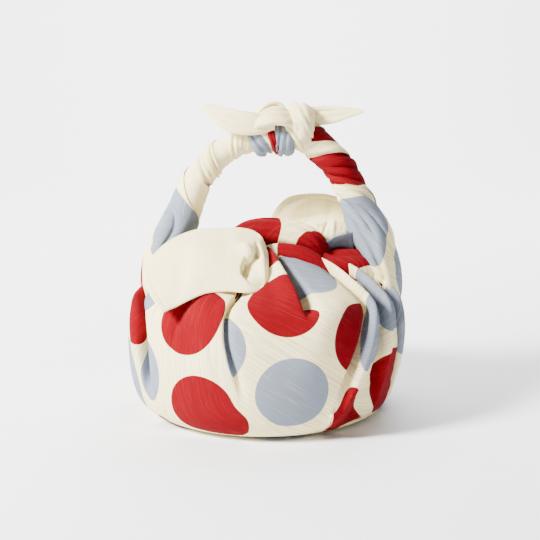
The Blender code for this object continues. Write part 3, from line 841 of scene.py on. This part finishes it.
backFold = {
    "inside": lowKnot, "bare": 0.0, "dot": (1, 2, 0.0, 0.010), "heading": 60,
    "creases": ((0.1, 0.10, 0.10, 0.0, 0.9), (-0.5, 0.08, 0.10, 0.0, 0.8)),
    "rows": (
        (-0.0060, 0.0380, 0.0760, 0.0150, 0.0030), (-0.0040, 0.0260, 0.0850, 0.0150, 0.0050),
        (-0.0020, 0.0120, 0.0925, 0.0130, 0.0060), (-0.0010, -0.0020, 0.0950, 0.0100, 0.0060),
        (0.0000, -0.0120, 0.0920, 0.0070, 0.0050),
    ),
}
backPleat = {
    "inside": lowKnot, "bare": 0.8,
    "creases": ((0.1, 0.10, 0.08, 0.1, 0.95), (-0.5, 0.08, 0.08, 0.2, 0.9)),
    "rows": (
        (0.0180, 0.0040, 0.0900, 0.0060, 0.0045), (0.0270, 0.0050, 0.0965, 0.0072, 0.0052),
        (0.0370, 0.0060, 0.0965, 0.0075, 0.0050), (0.0470, 0.0060, 0.0900, 0.0070, 0.0050),
    ),
}
rightSaddle = {
    "inside": (0.030, 0.0, 0.0), "bare": 0.0, "dot": (0, 1, -0.016, 0.0), "heading": 0,
    "creases": ((0.0, 0.12, 0.10, 0.0, 1.0), (0.5, 0.10, 0.10, 0.0, 1.0)),
    "rows": (
        (0.0200, -0.0050, 0.0790, 0.0160, 0.0100), (0.0330, -0.0060, 0.0800, 0.0185, 0.0100),
        (0.0450, -0.0040, 0.0780, 0.0180, 0.0120), (0.0540, 0.0000, 0.0700, 0.0160, 0.0140),
    ),
}
leftSaddle = {
    "inside": (-0.030, 0.0, 0.0), "bare": 0.0, "home": (-0.16, -0.02), "heading": 0,
    "creases": ((0.2, 0.12, 0.10, 0.0, 1.0), (-0.5, 0.10, 0.10, 0.0, 1.0)),
    "rows": (
        (-0.0160, -0.0040, 0.0810, 0.0160, 0.0100), (-0.0300, -0.0020, 0.0810, 0.0185, 0.0100),
        (-0.0420, 0.0000, 0.0780, 0.0180, 0.0120), (-0.0510, 0.0000, 0.0700, 0.0160, 0.0140),
    ),
}
bands = (leftTail, rightTail, crossing, topLoop, lowCrossing, frontFold, backFold, backPleat)
for part in (*bands, rightSaddle, leftSaddle):
    makeBand(part)
for part in (frontTail, backTail, pocketWall, pocketPleat):
    makeSkin(part)


# Turns of cloth round the handle at its top knot: middle x and z, lean in degrees, radii
# upwards (rise) and forwards (reach), half-width and half-thickness of the band. creases: place
# across, depth, half-width, and drift from its lower to its upper side. curl is how far the
# edges turn in, and a waist makes the upper side wider.
turning = {
    "rings": 52,
    "faceColumns": 28,
    "backColumns": 10,
    "flatness": 0.7,
    "slope": 0.4,
    "curl": 0.001,
    "curlPower": 2.6,
}


def makeTurn(part):
    # point = middle + ellipse + axis * across + face * high: a flattened closed section carried
    # round an ellipse about the leaning axis
    around = np.linspace(0, 2 * math.pi, turning["rings"], endpoint=False)
    section = sectionAngles(turning["faceColumns"], turning["backColumns"])
    lean = math.radians(part["lean"])
    axis = np.array([math.cos(lean), 0.0, math.sin(lean)])
    upright = np.array([-math.sin(lean), 0.0, math.cos(lean)])
    ahead = np.array([0.0, -1.0, 0.0])
    up, front = np.cos(around)[:, None], np.sin(around)[:, None]
    middle = np.array([part["x"], 0.0, part["z"]])
    path = middle + part["rise"] * up * upright + part["reach"] * front * ahead
    face = unit(up * upright / part["rise"] + front * ahead / part["reach"])
    across = squared(np.cos(section), turning["flatness"])
    curl = part.get("curl", turning["curl"]) * np.abs(across) ** turning["curlPower"]
    high = (np.sin(section) * part["thick"] - curl) * np.ones_like(up)
    top = np.maximum(np.sin(section), 0)
    for at, deep, wide, drift in part["creases"]:
        high = high - deep * creaseAt(across - at - drift * up, wide, turning["slope"]) * top
    wide = part["width"] * (1 + part.get("waist", 0) * up)
    points = path[:, None] + (wide * across)[..., None] * axis + high[..., None] * face[:, None]
    home, length = homeOf(part), part["rise"] * around[:, None] * np.ones_like(high)
    cloth = np.stack([home[0] + wide * across, home[1] + length], axis=2)
    # the last ring lies on the first, and the print doesn't run on past it
    points, cloth = (np.concatenate([grid, grid[:1]]) for grid in (points, cloth))
    addSheet(points, cloth, bare=part.get("bare", 0.0), wraps=True)


lowerTurn = {
    "x": -0.0040, "z": 0.1475, "lean": 24, "rise": 0.0078, "reach": 0.0095,
    "width": 0.0065, "thick": 0.0018, "dot": (1, 2, 0.017, -0.017),
    "creases": ((0.1, 0.0014, 0.10, -0.35), (0.6, 0.0012, 0.09, -0.4), (-0.5, 0.0012, 0.10, -0.35)),
}
narrowTurn = {
    "x": 0.0016, "z": 0.1480, "lean": 20, "rise": 0.0084, "reach": 0.0104,
    "width": 0.0022, "thick": 0.0014, "dot": (0, 2, 0.0, -0.013),
    "creases": ((0.0, 0.0006, 0.2, 0.0),),
}
middleTurn = {
    "x": 0.0070, "z": 0.1475, "lean": 6, "rise": 0.0082, "reach": 0.0100,
    "width": 0.0055, "thick": 0.0018, "dot": (1, 2, 0.0, -0.012),
    "creases": ((0.2, 0.0013, 0.10, 0.35), (-0.4, 0.0012, 0.10, 0.35)),
}
upperTurn = {
    "x": 0.0160, "z": 0.1535, "lean": 22, "rise": 0.0117, "reach": 0.0116,
    "width": 0.0082, "thick": 0.0024, "curl": 0.0066, "waist": 0.26, "bare": 1.0,
    "creases": (
        (-0.5, 0.0026, 0.10, -0.30), (-0.1, 0.0022, 0.09, -0.35),
        (0.3, 0.0018, 0.09, -0.3), (0.65, 0.0014, 0.09, -0.25),
    ),
}
for part in (lowerTurn, narrowTurn, middleTurn, upperTurn):
    makeTurn(part)
print("knots tied")


def joinSheets():
    # one mesh from all the sheets: four neighbouring points of a grid make a face, and each
    # corner of a face takes its own place on the cloth
    corners, places, spots, bareness = [], [], [], []
    base = 0
    for sheet in sheets:
        rows, columns = sheet["points"].shape[:2]
        last = columns if sheet["wraps"] else columns - 1
        i, j = np.meshgrid(np.arange(rows - 1), np.arange(last), indexing="ij")
        row = np.stack([i, i, i + 1, i + 1], axis=-1)
        column = np.stack([j, j + 1, j + 1, j], axis=-1) % columns
        corners.append((row * columns + column).reshape(-1, 4) + base)
        places.append(sheet["points"].reshape(-1, 3))
        spots.append(sheet["cloth"][row, column].reshape(-1, 2))
        bareness.append(sheet["bare"].reshape(-1))
        base += rows * columns
    return [np.concatenate(each) for each in (corners, places, spots, bareness)]


corners, places, spots, bareness = joinSheets()
mesh = bpy.data.meshes.new("wrappingCloth")
mesh.vertices.add(len(places))
mesh.vertices.foreach_set("co", places.ravel())
mesh.loops.add(corners.size)
mesh.loops.foreach_set("vertex_index", corners.ravel().astype(np.int32))
mesh.polygons.add(len(corners))
mesh.polygons.foreach_set("loop_start", np.arange(0, corners.size, 4, dtype=np.int32))
mesh.polygons.foreach_set("use_smooth", np.ones(len(corners), bool))
mesh.uv_layers.new(name="cloth")
mesh.uv_layers["cloth"].data.foreach_set("uv", spots.ravel())
mesh.attributes.new("bare", "FLOAT", "POINT").data.foreach_set("value", bareness)
mesh.update(calc_edges=True)
mesh.validate()
cloth = bpy.data.objects.new("wrappingCloth", mesh)
bpy.context.scene.collection.objects.link(cloth)
print("cloth joined:", 2 * len(corners), "triangles")

# the printed cotton: colours of cloth and slubs, finish, and what makes up its relief
colours = {
    "cream": (0.950, 0.835, 0.450, 1),
    "creamShade": (0.670, 0.555, 0.325, 1),
    "red": (0.146, 0.0001, 0.0040, 1),
    "blue": (0.185, 0.215, 0.265, 1),
    "slubOnCream": (0.970, 0.900, 0.680, 1),
    "slubOnRed": (0.25, 0.012, 0.014, 1),
    "slubOnBlue": (0.40, 0.43, 0.46, 1),
}
finish = {"Roughness": 0.88, "Specular IOR Level": 0.05, "Sheen Weight": 0.01, "Sheen Roughness": 0.6}
relief = {"slub": 0.5, "rib": 0.35, "weave": 0.2, "strength": 0.5, "distance": 0.00022}
# the yarn: its turn from the print, a thread's width, and the noise of its streaks, as repeats
# for each metre along and across the warp, with the stretch of the noise that shows; amount
# times reach lets more streaks show
yarn = {
    "angle": -45,
    "thread": 0.00045,
    "amount": 0.5,
    "reach": 0.1,
    "streaks": ((42, 3900, 1), (0.64, 0.72)),
    "strays": ((26, 3000, 1), (0.68, 0.76)),
    "ribs": ((34, 1700, 1), (0.36, 0.56)),
    "bareRibs": 0.8,  # how far the ribs even out on bare cloth
}


def newGroup(name, inputs, outputs):
    group = bpy.data.node_groups.new(name, "ShaderNodeTree")
    for label, kind, value in inputs:
        socket = group.interface.new_socket(label, in_out="INPUT", socket_type="NodeSocket" + kind)
        if value is not None:
            socket.default_value = value
    for label, kind in outputs:
        group.interface.new_socket(label, in_out="OUTPUT", socket_type="NodeSocket" + kind)
    return group, group.nodes.new("NodeGroupInput"), group.nodes.new("NodeGroupOutput")


def calc(tree, operation, *values):
    node = tree.nodes.new("ShaderNodeMath")
    node.operation = operation
    for k, value in enumerate(values):
        if isinstance(value, (int, float)):
            node.inputs[k].default_value = value
        else:
            tree.links.new(value, node.inputs[k])
    return node.outputs[0]


def noiseOn(tree, vector, detail=2.0, rough=0.5):
    node = tree.nodes.new("ShaderNodeTexNoise")
    node.inputs["Scale"].default_value = 1.0
    node.inputs["Detail"].default_value = detail
    node.inputs["Roughness"].default_value = rough
    tree.links.new(vector, node.inputs["Vector"])
    return node.outputs["Fac"]


def mapped(tree, vector, angle=0.0, scale=(1, 1, 1), move=(0, 0, 0)):
    node = tree.nodes.new("ShaderNodeMapping")
    node.inputs["Rotation"].default_value = (0, 0, math.radians(angle))
    node.inputs["Scale"].default_value = scale
    node.inputs["Location"].default_value = move
    tree.links.new(vector, node.inputs["Vector"])
    return node.outputs[0]


def ramp(tree, value, low, high):
    node = tree.nodes.new("ShaderNodeMapRange")
    node.interpolation_type = "SMOOTHSTEP"
    node.inputs["From Min"].default_value = low
    node.inputs["From Max"].default_value = high
    tree.links.new(value, node.inputs["Value"])
    return node.outputs["Result"]


def mixed(tree, share, a, b):
    node = tree.nodes.new("ShaderNodeMix")
    node.data_type = "RGBA"
    tree.links.new(share, node.inputs["Factor"])
    # sockets 6 and 7 are the two colours, and 2 is the mixed one
    for value, socket in ((a, node.inputs[6]), (b, node.inputs[7])):
        if isinstance(value, tuple):
            socket.default_value = value
        else:
            tree.links.new(value, socket)
    return node.outputs[2]


def dotsGroup():
    # plain round dots in staggered rows, red and grey-blue by turns along a row
    group, given, made = newGroup(
        "roundDots",
        (
            ("Cloth", "Vector", None),
            ("Pitch", "Float", dots["pitch"]),
            ("Row Pitch", "Float", dots["rowPitch"]),
            ("Radius", "Float", dots["radius"]),
        ),
        (("Red", "Float"), ("Blue", "Float")),
    )
    pitch, rowPitch = given.outputs["Pitch"], given.outputs["Row Pitch"]
    split = group.nodes.new("ShaderNodeSeparateXYZ")
    group.links.new(given.outputs["Cloth"], split.inputs[0])
    rowPlace = calc(group, "DIVIDE", split.outputs[1], rowPitch)
    odd = calc(group, "FLOORED_MODULO", calc(group, "FLOOR", rowPlace), 2)
    place = calc(group, "DIVIDE", split.outputs[0], pitch)
    place = calc(group, "ADD", place, calc(group, "MULTIPLY", odd, 0.5))
    squares = []
    for value, width in ((place, pitch), (rowPlace, rowPitch)):
        aside = calc(group, "SUBTRACT", calc(group, "FRACT", value), 0.5)
        aside = calc(group, "MULTIPLY", aside, width)
        squares.append(calc(group, "MULTIPLY", aside, aside))
    away = calc(group, "SQRT", calc(group, "ADD", *squares))
    inside = calc(group, "SUBTRACT", given.outputs["Radius"], away)
    inside = ramp(group, inside, -dots["edge"], dots["edge"])
    blue = calc(group, "FLOORED_MODULO", calc(group, "FLOOR", place), 2)
    red = calc(group, "SUBTRACT", 1.0, blue)
    group.links.new(calc(group, "MULTIPLY", inside, red), made.inputs["Red"])
    group.links.new(calc(group, "MULTIPLY", inside, blue), made.inputs["Blue"])
    return group


def slubGroup():
    # thick places in the yarn: noise drawn out along the warp, as long thin streaks and ribs
    group, given, made = newGroup(
        "slubs",
        (("Cloth", "Vector", None), ("Amount", "Float", yarn["amount"])),
        (("Slub", "Float"), ("Rib", "Float")),
    )
    lies = mapped(group, given.outputs["Cloth"], angle=yarn["angle"])
    scale, shown = yarn["streaks"]
    streak = noiseOn(group, mapped(group, lies, scale=scale))
    more = calc(group, "MULTIPLY", given.outputs["Amount"], yarn["reach"])
    streak = calc(group, "ADD", streak, more)
    streak = ramp(group, streak, *shown)
    scale, shown = yarn["strays"]
    stray = noiseOn(group, mapped(group, lies, scale=scale, move=(3, 9, 0)), detail=1.0)
    stray = ramp(group, stray, *shown)
    scale, shown = yarn["ribs"]
    rib = noiseOn(group, mapped(group, lies, scale=scale, move=(7, 1, 0)), rough=0.6)
    rib = ramp(group, rib, *shown)
    group.links.new(calc(group, "MAXIMUM", streak, stray), made.inputs["Slub"])
    group.links.new(rib, made.inputs["Rib"])
    return group


def weaveGroup():
    # plain weave: warp and weft waves crossing each other, half a wave to a thread
    group, given, made = newGroup(
        "plainWeave",
        (("Cloth", "Vector", None), ("Thread", "Float", yarn["thread"])),
        (("Height", "Float"),),
    )
    split = group.nodes.new("ShaderNodeSeparateXYZ")
    group.links.new(mapped(group, given.outputs["Cloth"], angle=yarn["angle"]), split.inputs[0])
    turn = calc(group, "DIVIDE", math.pi, given.outputs["Thread"])
    warp = calc(group, "SINE", calc(group, "MULTIPLY", split.outputs[0], turn))
    weft = calc(group, "SINE", calc(group, "MULTIPLY", split.outputs[1], turn))
    group.links.new(calc(group, "MULTIPLY", warp, weft), made.inputs["Height"])
    return group


def placed(tree, group, where):
    node = tree.nodes.new("ShaderNodeGroup")
    node.node_tree = group
    tree.links.new(where, node.inputs["Cloth"])
    return node


def makeCotton():
    # the print over a ribbed ground with slubs in both, and a bump from slubs, ribs and weave
    cotton = bpy.data.materials.new("printedCotton")
    cotton.use_nodes = True
    tree = cotton.node_tree
    shader = tree.nodes["Principled BSDF"]
    for label, value in finish.items():
        shader.inputs[label].default_value = value
    where = tree.nodes.new("ShaderNodeUVMap")
    where.uv_map = "cloth"
    bareHere = tree.nodes.new("ShaderNodeAttribute")
    bareHere.attribute_name = "bare"
    bare = bareHere.outputs["Fac"]
    inPrint = mapped(tree, where.outputs[0], angle=dots["angle"], move=(*dots["move"], 0))
    spotted = placed(tree, dotsGroup(), inPrint)
    slubs = placed(tree, slubGroup(), where.outputs[0])
    weave = placed(tree, weaveGroup(), where.outputs[0]).outputs["Height"]
    slub, rib = slubs.outputs["Slub"], slubs.outputs["Rib"]
    printed = calc(tree, "SUBTRACT", 1.0, bare)
    ribs = calc(tree, "MAXIMUM", rib, calc(tree, "MULTIPLY", bare, yarn["bareRibs"]))
    look = mixed(tree, ribs, colours["creamShade"], colours["cream"])
    look = mixed(tree, slub, look, colours["slubOnCream"])
    redCloth = mixed(tree, slub, colours["red"], colours["slubOnRed"])
    blueCloth = mixed(tree, slub, colours["blue"], colours["slubOnBlue"])
    for label, dyed in (("Red", redCloth), ("Blue", blueCloth)):
        look = mixed(tree, calc(tree, "MULTIPLY", spotted.outputs[label], printed), look, dyed)
    tree.links.new(look, shader.inputs["Base Color"])
    height = calc(tree, "MULTIPLY", slub, relief["slub"])
    for value, share in ((rib, relief["rib"]), (weave, relief["weave"])):
        height = calc(tree, "ADD", height, calc(tree, "MULTIPLY", value, share))
    bump = tree.nodes.new("ShaderNodeBump")
    bump.inputs["Strength"].default_value = relief["strength"]
    bump.inputs["Distance"].default_value = relief["distance"]
    tree.links.new(height, bump.inputs["Height"])
    tree.links.new(bump.outputs[0], shader.inputs["Normal"])
    return cotton


mesh.materials.append(makeCotton())
print("cotton printed")

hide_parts("furoshiki_wrap")
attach(cloth, "root")
low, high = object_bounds()
print("cloth box:", [round(v * 1000, 1) for v in low], [round(v * 1000, 1) for v in high])

# the floor, the light and the camera; sink is how far the floor lies below the cloth
studio = {
    "sweep": (0.89, 0.90, 0.935, 1),
    "sweepRoughness": 0.85,
    "world": (1.0, 0.99, 0.975, 1),
    "worldStrength": 0.16,
    "front": -3.0,
    "back": 0.85,
    "bend": 0.5,
    "halfWidth": 4.0,
    "top": 3.0,
    "sink": 0.0003,
}
lamps = (
    {"name": "key", "place": (-0.88, -0.50, 0.80), "size": 0.30, "power": 84.0, "tint": (1, 0.97, 0.92)},
    {"name": "fill", "place": (0.15, -1.1, 0.70), "size": 0.9, "power": 3.0, "tint": (1, 0.98, 0.96)},
    {"name": "rim", "place": (0.25, 0.55, 0.75), "size": 0.5, "power": 4.0},
    {"name": "wall", "place": (0.0, 0.62, 1.15), "size": 1.1, "power": 54.0, "target": (0.0, 1.35, 0.55)},
)
lens = {"length": 85.53, "sensor": 36}


def makeSweep():
    # a flat floor that bends up into a plain back wall: floor, quarter circle, wall
    bend, back = studio["bend"], studio["back"]
    turn = np.linspace(0, math.pi / 2, 25)
    y = np.concatenate([[studio["front"]], back + bend * np.sin(turn), [back + bend]])
    z = np.concatenate([[0.0], bend * (1 - np.cos(turn)), [studio["top"]]]) - studio["sink"]
    x = np.array([-studio["halfWidth"], studio["halfWidth"]])
    points = np.stack([np.repeat(x, len(y)), np.tile(y, 2), np.tile(z, 2)], axis=1)
    n = len(y)
    faces = [(i, n + i, n + i + 1, i + 1) for i in range(n - 1)]
    mesh = bpy.data.meshes.new("sweep")
    mesh.from_pydata(points.tolist(), [], faces)
    mesh.shade_smooth()
    sweep = bpy.data.objects.new("sweep", mesh)
    bpy.context.scene.collection.objects.link(sweep)
    paint = bpy.data.materials.new("palePaint")
    paint.use_nodes = True
    coat = paint.node_tree.nodes["Principled BSDF"]
    coat.inputs["Base Color"].default_value = studio["sweep"]
    coat.inputs["Roughness"].default_value = studio["sweepRoughness"]
    mesh.materials.append(paint)


def areaLight(name, place, size, power, tint=(1, 1, 1), target=(0, 0, 0.07)):
    # a square lamp at a place, turned to its target
    data = bpy.data.lights.new(name, "AREA")
    data.size, data.energy, data.color = size, power, tint
    lamp = bpy.data.objects.new(name, data)
    bpy.context.scene.collection.objects.link(lamp)
    lamp.location = place
    aim = np.array(target) - np.array(place)
    lamp.rotation_mode = "QUATERNION"
    lamp.rotation_quaternion = Vector(aim).to_track_quat("-Z", "Y")


makeSweep()
world = bpy.data.worlds.new("studio")
bpy.context.scene.world = world
world.use_nodes = True
world.node_tree.nodes["Background"].inputs["Color"].default_value = studio["world"]
world.node_tree.nodes["Background"].inputs["Strength"].default_value = studio["worldStrength"]
for lamp in lamps:
    areaLight(**lamp)

camera = bpy.data.objects.new("camera", bpy.data.cameras.new("camera"))
bpy.context.scene.collection.objects.link(camera)
bpy.context.scene.camera = camera
camera.data.lens, camera.data.sensor_width = lens["length"], lens["sensor"]
tilt, away = sight["tilt"], sight["away"]
camera.location = (0, -away * math.cos(tilt), sight["target"] + away * math.sin(tilt))
camera.rotation_euler = (math.radians(90) - tilt, 0, 0)
print("studio lit")
